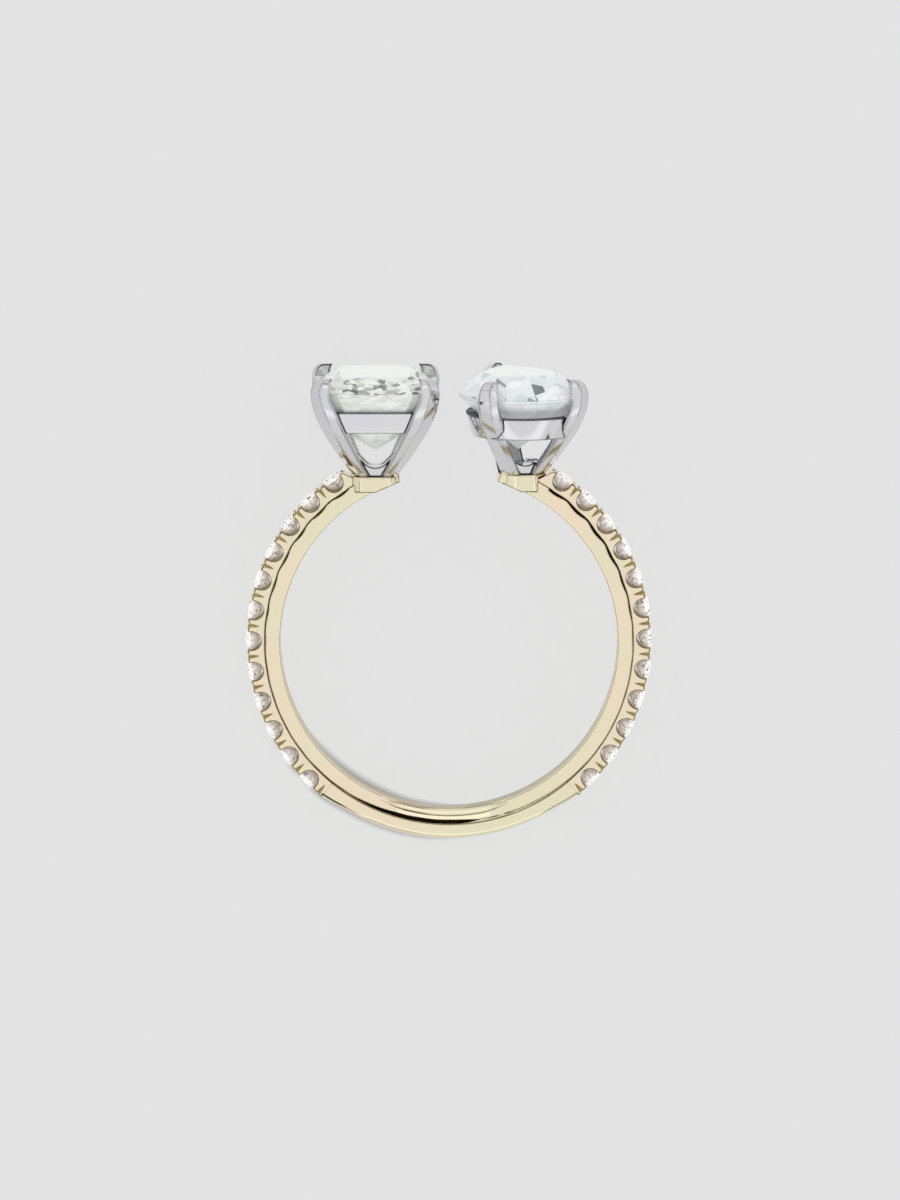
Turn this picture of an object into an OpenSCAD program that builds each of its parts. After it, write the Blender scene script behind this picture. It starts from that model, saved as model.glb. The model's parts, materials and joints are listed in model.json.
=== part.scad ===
// Toi et moi ring: an open band with a row of small stones on each side and two
// claw settings, one with an emerald cut stone and one with a pear cut stone.
// The ring is drawn upright (x across, y along the finger, z up to the settings,
// middle of the finger hole at 0) and then laid on its side as it rests by itself.

/* [Band] */
// Inner diameter of the band, where the finger goes
finger_d = 16.5; // [15:0.1:19]
// Radial thickness of the plain band
band_t = 1.4; // [1.3:0.05:1.7]
// Width of the band along the finger
band_w = 1.8; // [1.75:0.05:2.2]
// Width of the flat strip in the middle of the inner wall
inner_flat_w = 1.1; // [0.8:0.05:1.3]
// Width of the flat strip in the middle of the outer wall
outer_flat_w = 0.5; // [0.3:0.05:0.8]
// Opening between the two ends of the band
opening_w = 4.8; // [4.5:0.1:6]

/* [Small stones] */
// Number of small stones on each side of the band
pave_count = 12; // [8:1:13]
// Diameter of each small stone
pave_d = 1.25; // [1.1:0.05:1.35]
// Metal left between neighbouring small stones
bead_w = 0.25; // [0.22:0.01:0.5]
// Height of the bead tips above the plain band
bead_rise = 0.2; // [0.1:0.02:0.3]
// Depth of the small stones' girdles below the plain band's outer wall
pave_sink = 0.1; // [0:0.02:0.2]
// Width of the raised rail that holds the small stones
pave_rail_w = 1.6; // [1.5:0.02:1.7]
// Radial height of the smooth band under the stone rail, up to its crease
crease_t = 0.78; // [0.6:0.02:0.9]
// Radius of the scallop that shows each stone in the side wall
scallop_r = 0.46; // [0.38:0.02:0.52]
// Length of the stone rail past the last stone
rail_tail = 1.0; // [0.6:0.1:2]

/* [Collars] */
// Width of the collar under the emerald setting
emerald_collar_w = 2.4; // [2.2:0.05:2.8]
// Width of the collar under the pear setting
pear_collar_w = 2.3; // [2.1:0.05:2.7]
// Height of the emerald collar's top above the finger hole's wall
emerald_collar_h = 0.75; // [0.6:0.02:0.95]
// Height of the pear collar's top above the finger hole's wall
pear_collar_h = 0.83; // [0.6:0.02:0.95]
// Width of the hole down the middle of each collar
collar_hole_w = 1.1; // [0.8:0.05:1.3]

/* [Emerald cut stone] */
// Length of the stone, along the finger
emerald_l = 7.2; // [6.2:0.1:8]
// Width of the stone, across the finger
emerald_w = 5.3; // [4.8:0.1:5.8]
// Leg of the stone's cut corners
emerald_corner = 0.8; // [0.6:0.05:1]
// Height of the crown, from girdle to table
emerald_crown_h = 0.72; // [0.5:0.02:0.9]
// Depth of the pavilion, from girdle to keel
emerald_pavilion_h = 2.85; // [2.4:0.05:3.2]
// Distance from the girdle in to the table's edge
emerald_table_in = 0.92; // [0.6:0.02:1.2]
// Height of the girdle above the collar
emerald_lift = 4.28; // [4:0.05:4.8]

/* [Pear cut stone] */
// Length of the stone, from round end to point
pear_l = 9.2; // [8:0.1:10]
// Width of the stone
pear_w = 6.1; // [5.4:0.1:6.5]
// Height of the crown, from girdle to table
pear_crown_h = 1.0; // [0.7:0.02:1.3]
// Depth of the pavilion, from girdle to culet
pear_pavilion_h = 2.7; // [2.3:0.05:3]
// Share of the outline that the table takes
pear_table = 0.58; // [0.5:0.01:0.65]
// Height of the girdle above the collar
pear_lift = 3.95; // [3.8:0.05:4.5]
// Turn of the pear about its own axis, seen from above
pear_turn = 12.5; // [0:0.5:20]
// Distance of the pear's middle from its collar's middle, towards the opening
pear_shift = 0.27; // [0:0.02:0.5]

/* [Claw settings] */
// Width of each claw
claw_w = 0.88; // [0.75:0.02:1]
// Width of the bevel down the outer corner of each claw
claw_bevel = 0.42; // [0.3:0.02:0.5]
// Distance from the emerald cut stone's side to a claw's middle
emerald_claw_out = 0.04; // [-0.05:0.01:0.1]
// Distance from the pear cut stone's girdle to a claw's middle
pear_claw_out = 0.24; // [0.15:0.01:0.3]
// Angle of the pear's two round claws from its round end
pear_claw_angle = 44; // [35:1:50]
// Height of the claw tips above the girdle of the emerald cut stone
emerald_tip_h = 0.8; // [0.7:0.02:1]
// Height of the claw tips above the girdle of the pear cut stone
pear_tip_h = 0.98; // [0.8:0.02:1.2]
// Length of the claw tips over the stone
tip_reach = 0.62; // [0.4:0.02:0.8]
// Height of the gallery rail under each stone
gallery_h = 1.1; // [0.9:0.05:1.3]
// Wall of the gallery rail
gallery_wall = 0.5; // [0.4:0.02:0.6]
// Distance from each stone's girdle down to the gallery rail
gallery_drop = 0.82; // [0.6:0.02:1]
// Distance from each stone's girdle in to the gallery rail
gallery_in = 0.32; // [0.25:0.01:0.45]
// Height of the solid base of each setting
base_h = 0.28; // [0.2:0.02:0.4]

/* [Fits] */
// Gap between a stone and its seat
seat_gap = 0.03; // [0.02:0.005:0.05]
// Solder gap between each setting and its collar
solder_gap = 0.02; // [0.01:0.005:0.04]

/* [Rest] */
// Angle from the bottom of the band to where it touches the surface, towards the emerald side
rest_side = 24; // [15:1:33]

/* [Hidden] */
// Fineness of round cutters and of the curved outlines
$fn = 48;
// Places of the two settings
finger_r = finger_d / 2;
plain_r = finger_r + band_t;
emerald_x = -(opening_w + emerald_collar_w) / 2;
pear_x = (opening_w + pear_collar_w) / 2;
function wall_z(x) = sqrt(finger_r * finger_r - x * x);
emerald_z = wall_z(emerald_x) + emerald_collar_h;
pear_z = wall_z(pear_x) + pear_collar_h;
// Small overlap that joins pieces, margin by which cutters run past a face, and the
// room beside each collar for the claws that lean out over it
overlap = 0.1;
past = 1;
claw_room = bead_w;

// Angles of the small stones, counted from the top of the ring
girdle_r = plain_r - pave_sink;
bead_r = plain_r + bead_rise;
pave_step = 2 * asin((pave_d + bead_w) / 2 / girdle_r);
emerald_side_edge = -emerald_x + emerald_collar_w / 2 + bead_w;
pear_side_edge = pear_x + pear_collar_w / 2 + bead_w;
function first_angle(edge) = asin(edge / girdle_r) + asin(pave_d / 2 / girdle_r);
left_first = first_angle(emerald_side_edge);
right_first = first_angle(pear_side_edge);
function pave_angle(first, i) = first + pave_step * (i - 1);
tail_angle = rail_tail / girdle_r * 180 / PI;
// Share of a small stone's diameter that its crown and pavilion take
pave_crown = 0.15;
pave_pavilion = 0.43;
pave_table = 0.57;
pave_girdle = 0.03;

// Outlines of the stones, of the rails under them and of the collars
function cut_corner(w, l, c) = [
    [w / 2, l / 2 - c], [w / 2 - c, l / 2], [-w / 2 + c, l / 2], [-w / 2, l / 2 - c],
    [-w / 2, -l / 2 + c], [-w / 2 + c, -l / 2], [w / 2 - c, -l / 2], [w / 2, -l / 2 + c]];
// A pear with its round end at -y: half circle of radius r, then wings that fall
// off as 1 - s * s to a point at distance h; k counts the stations from the round end,
// n of them to each part of the outline
side_parts = 8;
round_parts = 3;
wing_parts = side_parts - round_parts;
function pear_side(r, h, k, n) =
    let (a = 90 / round_parts * k / n, s = (k / n - round_parts) / wing_parts)
    k <= round_parts * n ? [r * sin(a), -r * cos(a)] : [r * (1 - s * s), h * s];
function pear_outline(r, h, n) = concat(
    [for (k = [0 : side_parts * n]) pear_side(r, h, k, n)],
    [for (k = [side_parts * n - 1 : -1 : 1]) let (p = pear_side(r, h, k, n)) [-p.x, p.y]]);
pear_r = pear_w / 2;
pear_h = pear_l - pear_r;
pear_round = -(pear_l - pear_w) / 2;
function circle_outline(r, n) = [for (k = [0 : n - 1]) r * [cos(360 * k / n), sin(360 * k / n)]];

// Facets of a brilliant: 8 table corners, 8 star tips, 16 points on each girdle
// edge, 8 lower tips and the culet, all worked out from 16 points of the outline
star_share = 0.5;
lower_share = 0.28;
half_step = 180 / side_parts;
function fan(ps, share, z, mid) = [for (p = ps) [mid.x + share * (p.x - mid.x),
                                                 mid.y + share * (p.y - mid.y), z]];
function every_second(ps, from) = [for (i = [from : 2 : len(ps) - 1]) ps[i]];
function brilliant_points(rim, mid, table, crown, pavilion, girdle) =
    let (corners = every_second(rim, 0),
         between = every_second(rim, 1),
         star = table + star_share * (1 - table),
         star_z = crown * (1 - (star * cos(half_step) - table) / (1 - table)),
         lower_z = -pavilion * (1 - lower_share * cos(half_step)))
    concat(fan(corners, table, girdle / 2 + crown, mid), fan(between, star, girdle / 2 + star_z, mid),
           fan(rim, 1, girdle / 2, mid), fan(rim, 1, -girdle / 2, mid),
           fan(between, lower_share, -girdle / 2 + lower_z, mid),
           [[mid.x, mid.y, -girdle / 2 - pavilion]]);
table_at = 0;
star_at = 8;
upper_at = 16;
under_at = 32;
lower_at = 48;
culet_at = 56;
function wrap(i, n) = (i + n) % n;
brilliant_faces = concat(
    [[for (i = [7 : -1 : 0]) table_at + i]],
    [for (i = [0 : 7]) [table_at + i, table_at + wrap(i + 1, 8), star_at + i]],
    [for (i = [0 : 7]) [upper_at + 2 * i, star_at + wrap(i - 1, 8), table_at + i]],
    [for (i = [0 : 7]) [star_at + i, upper_at + 2 * i, table_at + i]],
    [for (i = [0 : 7]) [upper_at + 2 * i + 1, upper_at + 2 * i, star_at + i]],
    [for (i = [0 : 7]) [upper_at + wrap(2 * i + 2, 16), upper_at + 2 * i + 1, star_at + i]],
    [for (i = [0 : 15]) [upper_at + i, upper_at + wrap(i + 1, 16), under_at + wrap(i + 1, 16), under_at + i]],
    [for (i = [0 : 7]) [under_at + 2 * i, under_at + 2 * i + 1, lower_at + i]],
    [for (i = [0 : 7]) [under_at + 2 * i + 1, under_at + wrap(2 * i + 2, 16), lower_at + i]],
    [for (i = [0 : 7]) [under_at + 2 * i, lower_at + i, culet_at]],
    [for (i = [0 : 7]) [under_at + 2 * i, culet_at, lower_at + wrap(i - 1, 8)]]);

// Steps of the emerald cut, each row the share of the way in and of the height
stone_girdle = 0.12;
keel_w = 0.12;
crown_steps = [[0, 0], [0.3, 0.44], [0.64, 0.78], [1, 1]];
pavilion_steps = [[1, 1], [0.66, 0.8], [0.32, 0.46], [0, 0]];
function emerald_ring(inset, z) =
    let (left = 1 - inset / (emerald_w / 2))
    [for (p = cut_corner(emerald_w - 2 * inset, emerald_l - 2 * inset, emerald_corner * left)) [p.x, p.y, z]];
emerald_rings = concat(
    [for (s = pavilion_steps) emerald_ring((emerald_w - keel_w) / 2 * s[0],
                                           -stone_girdle / 2 - emerald_pavilion_h * s[1])],
    [for (s = crown_steps) emerald_ring(emerald_table_in * s[0],
                                        stone_girdle / 2 + emerald_crown_h * s[1])]);

// Claws: the way of a claw's middle from its foot to the girdle is a curve that
// leaves the foot in a V and comes up straight at the girdle, and then the tip
// bends in; each row of a table holds shares of those ways, of the height and of the width
stem_steps = 7;
stem_lean = [[0, 0], [0.56, 0.4], [0.98, 0.72], [1, 1]];
foot_share = 0.86;
tip_steps = [[0.06, 0.42, 0.97], [0.36, 0.78, 0.86], [0.78, 0.98, 0.62], [0.95, 1, 0.36]];
slab = 0.02;
function cubic(p, t) = pow(1 - t, 3) * p[0] + 3 * t * pow(1 - t, 2) * p[1]
                       + 3 * t * t * (1 - t) * p[2] + pow(t, 3) * p[3];
function claw_way(foot, top, tip, lift, tip_h) = concat(
    [for (k = [0 : stem_steps]) let (s = cubic(stem_lean, k / stem_steps), at = foot + (top - foot) * s[0])
        [at.x, at.y, lift * s[1], foot_share + (1 - foot_share) * s[1]]],
    [for (s = tip_steps) let (at = top + (tip - top) * s[0])
        [at.x, at.y, lift + tip_h * s[1] - slab, s[2]]]);
// Cross sections of a claw, with its outer side towards +x: a square wire with its
// outer corner bevelled, and a wedge that holds the pear's point
claw_edge = 0.1;
claw_section =
    let (h = claw_w / 2, b = claw_bevel, e = claw_edge)
    [for (p = [[h, h - b], [h - b, h], [-h + e, h], [-h, h - e], [-h, -h + e],
               [-h + e, -h], [h - e, -h], [h, -h + e]])
        [p.x + p.y, p.y - p.x] * cos(45)];
vee_nose = claw_w * 0.48;
vee_flat = claw_w * 0.18;
vee_back = claw_w * 0.7;
vee_half = claw_w * 0.89;
vee_section = [[vee_nose, -vee_flat], [vee_nose, vee_flat], [-vee_back, vee_half], [-vee_back, -vee_half]];

// Feet, girdle places and tips of the claws, seen from above in each setting
foot_r = 0.92;
vee_reach = 0.8;
diagonal = [cos(45), sin(45)];
emerald_top = [emerald_w / 2 + emerald_claw_out, emerald_l / 2 - emerald_claw_out];
emerald_claw_way = claw_way(foot_r * diagonal, emerald_top, emerald_top - tip_reach * diagonal,
                            emerald_lift, emerald_tip_h);
function from_round(a, r) = [r * sin(a), pear_round - r * cos(a)];
pear_top_r = pear_r + pear_claw_out;
pear_foot_middle = pear_shift * [cos(pear_turn), -sin(pear_turn)];
function pear_foot(a) = pear_foot_middle + foot_r * [sin(a), -cos(a)];
function pear_claw_way(a) = claw_way(pear_foot(a), from_round(a, pear_top_r),
                                     from_round(a, pear_top_r - tip_reach), pear_lift, pear_tip_h);
vee_top = [0, pear_round + pear_h + pear_claw_out];
vee_way = claw_way(pear_foot(180), vee_top, vee_top - [0, vee_reach], pear_lift, pear_tip_h);
base_share = 0.9;

// Rounded edges of the plain band
inner_round_w = (band_w - inner_flat_w) / 2;
inner_round_t = band_t * 0.3;
outer_round_w = (band_w - outer_flat_w) / 2;
outer_round_t = band_t * 0.5;

// Rest: the band's rear rim and a rear claw touch the surface. Both heights are worked
// out for a lean t, and the lean is found by halving its range until the two agree
function height(p, t) = -p.y * cos(t) + (p.x * sin(rest_side) + p.z * cos(rest_side)) * sin(t);
function turned(p, a) = [p.x * cos(a) - p.y * sin(a), p.x * sin(a) + p.y * cos(a), p.z];
rear_points = concat(
    [for (s = vee_way)
        turned([s.x + vee_flat * s[3], s.y + vee_nose * s[3], s.z], pear_turn)
        + [pear_x - pear_shift, 0, pear_z + solder_gap]],
    [for (s = emerald_claw_way)
        [emerald_x - s.x, s.y + claw_w / 2 * s[3], s.z + emerald_z + solder_gap]]);
function claws_low(t) = min([for (p = rear_points) height(p, t)]);
function band_low(t) = -(plain_r - outer_round_t) * sin(t) - outer_flat_w / 2 * cos(t)
                       - norm([outer_round_t * sin(t), outer_round_w * cos(t)]);
function find_lean(low, high, n) =
    let (mid = (low + high) / 2)
    n == 0 ? mid
           : claws_low(mid) > band_low(mid) ? find_lean(low, mid, n - 1) : find_lean(mid, high, n - 1);
rest_lean = find_lean(0, 40, 24);
rest_lift = -band_low(rest_lean);
claw_top_z = pear_z + pear_lift + pear_tip_h;
rest_back = ((claw_top_z - plain_r) * cos(rest_lean) + vee_top.y * sin(rest_lean) * cos(rest_side)) / 2;

// Names of the nodes
left_stones = [for (i = [1 : pave_count]) str("left_small_stone_", i)];
right_stones = [for (i = [1 : pave_count]) str("right_small_stone_", i)];

// Lays the upright ring on its side, its front up and its settings away
module at_rest() {
    translate([0, -rest_back, rest_lift])
        rotate(a = rest_lean, v = [cos(rest_side), -sin(rest_side), 0])
            rotate([-90, 0, 0]) children();
}

// Places of the settings and of the small stones
module at_emerald() {
    translate([emerald_x, 0, emerald_z]) children();
}

module at_pear() {
    translate([pear_x, 0, pear_z]) rotate(pear_turn) children();
}

module at_pear_middle() {
    translate([pear_x - pear_shift, 0, pear_z]) rotate(pear_turn) children();
}

module at_small_stone(side, first, i) {
    rotate([0, side * pave_angle(first, i), 0]) translate([0, 0, girdle_r]) children();
}

// Cross sections of the band, x being the distance from the finger's axis
arc_steps = 5;
bore_skin = 0.03;
function arc_corner(mid, rx, ry, from) =
    [for (k = [0 : arc_steps]) let (a = from + 90 * k / arc_steps)
        [mid.x + rx * cos(a), mid.y + ry * sin(a)]];
function inner_edges() = concat(
    arc_corner([finger_r + inner_round_t, inner_flat_w / 2], inner_round_t + bore_skin, inner_round_w, 90),
    arc_corner([finger_r + inner_round_t, -inner_flat_w / 2], inner_round_t + bore_skin, inner_round_w, 180));
function plain_profile() = concat(
    arc_corner([plain_r - outer_round_t, outer_flat_w / 2], outer_round_t, outer_round_w, 0),
    inner_edges(),
    arc_corner([plain_r - outer_round_t, -outer_flat_w / 2], outer_round_t, outer_round_w, 270));
crease_r = finger_r + crease_t;

// Angles at which the stone rails end, counted from the top
left_end = pave_angle(left_first, pave_count) + tail_angle;
right_end = pave_angle(right_first, pave_count) + tail_angle;
facet_angle = 4;

// A stretch of the band between two angles from the top, clockwise
module stretch(from, to) {
    rotate([90, 0, 0]) rotate_extrude(start = 90 - to, angle = to - from) children();
}

module rail_blank(from, to) {
    wide = pave_rail_w + overlap;
    stretch(from, to) translate([crease_r, -wide / 2]) square([bead_r - crease_r, wide]);
}

// Cuts both side walls flat along a stone rail, down to the crease
module rail_sides(from, to) {
    for (side = [-1, 1])
        stretch(from, to)
            translate([crease_r, side * (pave_rail_w + band_w) / 2 - band_w / 2]) square([band_t, band_w]);
}

// A collar is a block with cut corners, and one with a round end has a disc over a
// narrower block
collar_corner = 0.2;
block_corner = 0.25;
round_block = 0.75;
module collar(w, h, round_end) {
    translate([0, 0, -h])
        linear_extrude(h)
            union() {
                polygon(cut_corner(round_end ? w * round_block : w, w, w * collar_corner));
                if (round_end) circle(d = w);
            }
}

// Takes away what stands above a collar and beside it, where the claws lean out
module above_collar(w, side) {
    run = w / 2 + overlap;
    translate([side > 0 ? -run : -w / 2 - claw_room, -band_w, 0])
        cube([run + w / 2 + claw_room, 2 * band_w, band_t + past]);
}

module hole_outline() {
    polygon(cut_corner(collar_hole_w, collar_hole_w, collar_hole_w * block_corner));
}

module collar_hole(h) {
    translate([0, 0, -h / 2]) linear_extrude(h) hole_outline();
}

// Seat of a small stone: a well, a cone under it and the scallop through the rail
seat_floor_r = 0.12;
module seat() {
    r = pave_d / 2 + seat_gap;
    under = pave_girdle * pave_d / 2 + seat_gap;
    depth = pave_pavilion * pave_d + seat_gap;
    translate([0, 0, -under]) cylinder(r = r, h = past);
    translate([0, 0, -under - depth]) cylinder(r1 = seat_floor_r, r2 = r, h = depth);
    rotate([90, 0, 0]) cylinder(r = scallop_r, h = band_w + past, center = true);
}

module shank() {
    color("#E6D6A8")
        difference() {
            union() {
                rotate([90, 0, 0]) rotate_extrude() polygon(plain_profile());
                rail_blank(0, right_end);
                rail_blank(-left_end, 0);
                at_emerald() collar(emerald_collar_w, emerald_collar_h, false);
                at_pear() collar(pear_collar_w, pear_collar_h, true);
            }
            rotate([90, 0, 0]) cylinder(r = finger_r, h = band_w + 2 * past, center = true);
            rail_sides(-left_end - facet_angle, right_end + facet_angle);
            translate([-opening_w / 2, -band_w, finger_r / 2]) cube([opening_w, 2 * band_w, plain_r]);
            at_emerald() above_collar(emerald_collar_w, -1);
            translate([pear_x, 0, pear_z]) above_collar(pear_collar_w, 1);
            at_emerald() collar_hole(emerald_collar_h);
            at_pear() collar_hole(pear_collar_h);
            for (i = [1 : pave_count]) {
                at_small_stone(-1, left_first, i) seat();
                at_small_stone(1, right_first, i) seat();
            }
        }
}

// Stones
module brilliant(rim, mid, table, crown, pavilion, girdle) {
    polyhedron(points = brilliant_points(rim, mid, table, crown, pavilion, girdle),
               faces = brilliant_faces);
}

module small_stone() {
    color("#EDE8EA")
        brilliant(circle_outline(pave_d / 2, 2 * side_parts), [0, 0], pave_table,
                  pave_crown * pave_d, pave_pavilion * pave_d, pave_girdle * pave_d);
}

module pear_stone() {
    translate([0, pear_round, 0])
        brilliant(pear_outline(pear_r, pear_h, 1), [0, (pear_h - pear_r) / 3], pear_table,
                  pear_crown_h, pear_pavilion_h, stone_girdle);
}

module emerald_stone() {
    last = len(emerald_rings) - 1;
    polyhedron(
        points = [for (r = emerald_rings) for (p = r) p],
        faces = concat(
            [[for (i = [0 : 7]) i]],
            [for (k = [0 : last - 1]) for (i = [0 : 7])
                [8 * k + i, 8 * k + 8 + i, 8 * k + 8 + wrap(i + 1, 8), 8 * k + wrap(i + 1, 8)]],
            [[for (i = [7 : -1 : 0]) 8 * last + i]]));
}

module emerald_cut_stone() {
    color("#F2F5F0") at_emerald() translate([0, 0, solder_gap + emerald_lift]) emerald_stone();
}

module pear_cut_stone() {
    color("#EEF3F8") at_pear_middle() translate([0, 0, solder_gap + pear_lift]) pear_stone();
}

// Claws, rails and bases of the settings
module claw(way, turn, section) {
    for (k = [0 : len(way) - 2])
        hull()
            for (s = [way[k], way[k + 1]])
                translate([s.x, s.y, s.z]) rotate(turn) linear_extrude(slab) polygon(s[3] * section);
}

module gallery(outer, inner, lift) {
    translate([0, 0, lift - gallery_drop - gallery_h])
        linear_extrude(gallery_h)
            difference() {
                polygon(outer);
                polygon(inner);
            }
}

module base(w) {
    linear_extrude(base_h)
        difference() {
            polygon(cut_corner(w, w, w * block_corner));
            hole_outline();
        }
}

module emerald_gallery() {
    w = emerald_w - 2 * gallery_in;
    l = emerald_l - 2 * gallery_in;
    gallery(cut_corner(w, l, emerald_corner),
            cut_corner(w - 2 * gallery_wall, l - 2 * gallery_wall, emerald_corner), emerald_lift);
}

module pear_gallery() {
    r = pear_r - gallery_in;
    h = pear_h - gallery_in;
    translate([0, pear_round, 0])
        gallery(pear_outline(r, h, 2), pear_outline(r - gallery_wall, h - 2 * gallery_wall, 2), pear_lift);
}

module emerald_setting() {
    color("#D5D3DA") at_emerald() translate([0, 0, solder_gap])
        difference() {
            union() {
                for (x = [0, 1], y = [0, 1])
                    mirror([x, 0, 0]) mirror([0, y, 0]) claw(emerald_claw_way, 45, claw_section);
                emerald_gallery();
                base(emerald_collar_w * base_share);
            }
            translate([0, 0, emerald_lift]) scale(1 + 2 * seat_gap / emerald_w) emerald_stone();
        }
}

module pear_setting() {
    color("#D5D3DA") at_pear_middle() translate([0, 0, solder_gap])
        difference() {
            union() {
                claw(pear_claw_way(-pear_claw_angle), -pear_claw_angle - 90, claw_section);
                claw(pear_claw_way(pear_claw_angle), pear_claw_angle - 90, claw_section);
                claw(vee_way, 90, vee_section);
                pear_gallery();
                translate(pear_foot_middle) base(pear_collar_w * base_share);
            }
            translate([0, 0, pear_lift]) scale(1 + 2 * seat_gap / pear_w) pear_stone();
        }
}

at_rest() shank();
at_rest() emerald_setting();
at_rest() pear_setting();
at_rest() emerald_cut_stone();
at_rest() pear_cut_stone();
for (i = [1 : pave_count]) {
    at_rest() at_small_stone(-1, left_first, i) small_stone();
    at_rest() at_small_stone(1, right_first, i) small_stone();
}
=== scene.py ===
"""Toi et moi ring: an open pave band in yellow gold, with an emerald cut stone and a
pear cut stone side by side in white gold claw settings, lying on a pale surface."""
import json
import math

import bmesh
import bpy
from mathutils import Matrix, Vector


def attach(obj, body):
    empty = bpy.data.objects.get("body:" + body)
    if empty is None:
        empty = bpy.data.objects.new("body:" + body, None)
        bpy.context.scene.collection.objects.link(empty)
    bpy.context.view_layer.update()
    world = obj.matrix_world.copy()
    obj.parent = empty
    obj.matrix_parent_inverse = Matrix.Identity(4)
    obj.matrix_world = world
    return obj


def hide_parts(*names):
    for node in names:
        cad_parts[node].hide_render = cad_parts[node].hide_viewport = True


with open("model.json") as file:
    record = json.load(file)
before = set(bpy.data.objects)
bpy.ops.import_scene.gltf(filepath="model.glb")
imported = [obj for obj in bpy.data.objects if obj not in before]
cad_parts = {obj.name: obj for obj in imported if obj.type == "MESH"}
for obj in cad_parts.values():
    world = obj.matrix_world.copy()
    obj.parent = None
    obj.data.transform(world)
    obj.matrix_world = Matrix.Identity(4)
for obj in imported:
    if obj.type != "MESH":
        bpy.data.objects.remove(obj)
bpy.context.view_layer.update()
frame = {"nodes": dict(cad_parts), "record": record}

# Sizes in millimetres, in the upright ring's own axes: x across, y along the finger
# with the front at -y, z up to the settings, and 0 in the middle of the finger hole
MM = 0.001
bore = frame["record"]["mounts"][0]
FINGER_R = bore["dims"]["r_mm"]
BAND_W = 1.8
HALF_W = BAND_W / 2
PLAIN_R = FINGER_R + 1.4
OPENING_W = 4.8
PAVE_COUNT = 12
PAVE_D = 1.25
BEAD_GAP = 0.25
GIRDLE_R = PLAIN_R - 0.1
RAIL_HALF = 0.795
# The small stones, their rails and the back of the band, as far out as they are seen
STONE_R = GIRDLE_R + 0.15
RAIL_TOP = PLAIN_R + 0.19
BACK_R = PLAIN_R + 0.1
CREASE_R = FINGER_R + 0.78
# The crease's widths at the top, the side and the bottom of the ring
CREASE_WIDTHS = {"left": (0.06, 0.055, 0.2), "right": (0.1, 0.042, 0.036)}
# Width and height of the collars, and the share of the width that their corners take
EMERALD_COLLAR = (2.4, 0.75)
EMERALD_COLLAR_CORNER = 0.21
PEAR_COLLAR = (2.3, 0.83)
PEAR_COLLAR_CORNER = 0.3
# The pear's setting is turned, and nearer the opening than its collar's middle
PEAR_TURN = math.radians(12.5)
PEAR_SHIFT = 0.27
EMERALD_X = -(OPENING_W + EMERALD_COLLAR[0]) / 2
PEAR_X = (OPENING_W + PEAR_COLLAR[0]) / 2


def wall_z(x):
    """Height of the finger hole's wall at x."""
    return math.sqrt(FINGER_R ** 2 - x ** 2)


EMERALD_Z = wall_z(EMERALD_X) + EMERALD_COLLAR[1]
PEAR_Z = wall_z(PEAR_X) + PEAR_COLLAR[1]
PAVE_STEP = 2 * math.asin((PAVE_D + BEAD_GAP) / 2 / GIRDLE_R)


def first_angle(edge):
    """Angle of a row's first stone, which stands clear of an edge at x."""
    return math.asin(edge / GIRDLE_R) + math.asin(PAVE_D / 2 / GIRDLE_R)


BAND_START = math.asin(OPENING_W / 2 / FINGER_R)
LEFT_FIRST = first_angle(-EMERALD_X + EMERALD_COLLAR[0] / 2 + BEAD_GAP)
RIGHT_FIRST = first_angle(PEAR_X + PEAR_COLLAR[0] / 2 + BEAD_GAP)
ROW_LENGTH = PAVE_STEP * (PAVE_COUNT - 1)
# Each row: its name, side of the ring and first stone's angle from the top
ROWS = (("left", -1, LEFT_FIRST), ("right", 1, RIGHT_FIRST))

# The ring lies on its side: its finger axis is the bore's, and its front looks up
lean = Vector((0, 0, 1)).rotation_difference(Vector(bore["axis"])).to_matrix().to_4x4()
LAID_DOWN = (Matrix.Translation(Vector(bore["pos_m"])) @ lean
             @ Matrix.Rotation(math.radians(-90), 4, "X") @ Matrix.Scale(MM, 4))


def ring_direction(x, y, z):
    """A direction of the upright ring, as it points once the ring lies down."""
    return (LAID_DOWN.to_3x3() @ Vector((x, y, z))).normalized()


# Nodes and materials

def colour(code):
    """sRGB hex to linear."""
    parts = [int(code[i:i + 2], 16) / 255 for i in (1, 3, 5)]
    return tuple(c / 12.92 if c <= 0.04045 else ((c + 0.055) / 1.055) ** 2.4 for c in parts) + (1.0,)


def grains_of(mm):
    """Scale of a pattern with grains mm wide."""
    return 1 / (mm * MM)


# Settings that many nodes share
DOT = {"operation": "DOT_PRODUCT"}
EASED = {"interpolation_type": "SMOOTHSTEP"}
OF_COLOURS = {"data_type": "RGBA"}


def set_stops(marks, stops):
    """Gives a ramp its stops, each a place from 0 to 1 and a linear colour."""
    while len(marks.elements) < len(stops):
        marks.elements.new(0.5)
    for element, (place, shade) in zip(marks.elements, stops):
        element.position = place
        element.color = shade


def node(tree, kind, settings=None, **links):
    """Adds a node. settings are its properties, and stops those of a ramp. Each of links fills
    the input of that name, or of that number after a low line, with a value, with what comes
    out of a socket, or with the first thing that comes out of a node."""
    made = tree.nodes.new(kind)
    for key, value in (settings or {}).items():
        if key == "stops":
            set_stops(made.color_ramp, value)
        else:
            setattr(made, key, value)
    for key, value in links.items():
        socket = made.inputs[int(key[1:]) if key[0] == "_" else key.replace("_", " ")]
        if isinstance(value, bpy.types.Node):
            value = value.outputs[0]
        if isinstance(value, bpy.types.NodeSocket):
            tree.links.new(value, socket)
        else:
            socket.default_value = value
    return made


def reckon(tree, operation, *values):
    """A step of arithmetic on these values."""
    links = {f"_{i}": value for i, value in enumerate(values)}
    return node(tree, "ShaderNodeMath", {"operation": operation}, **links)


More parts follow.
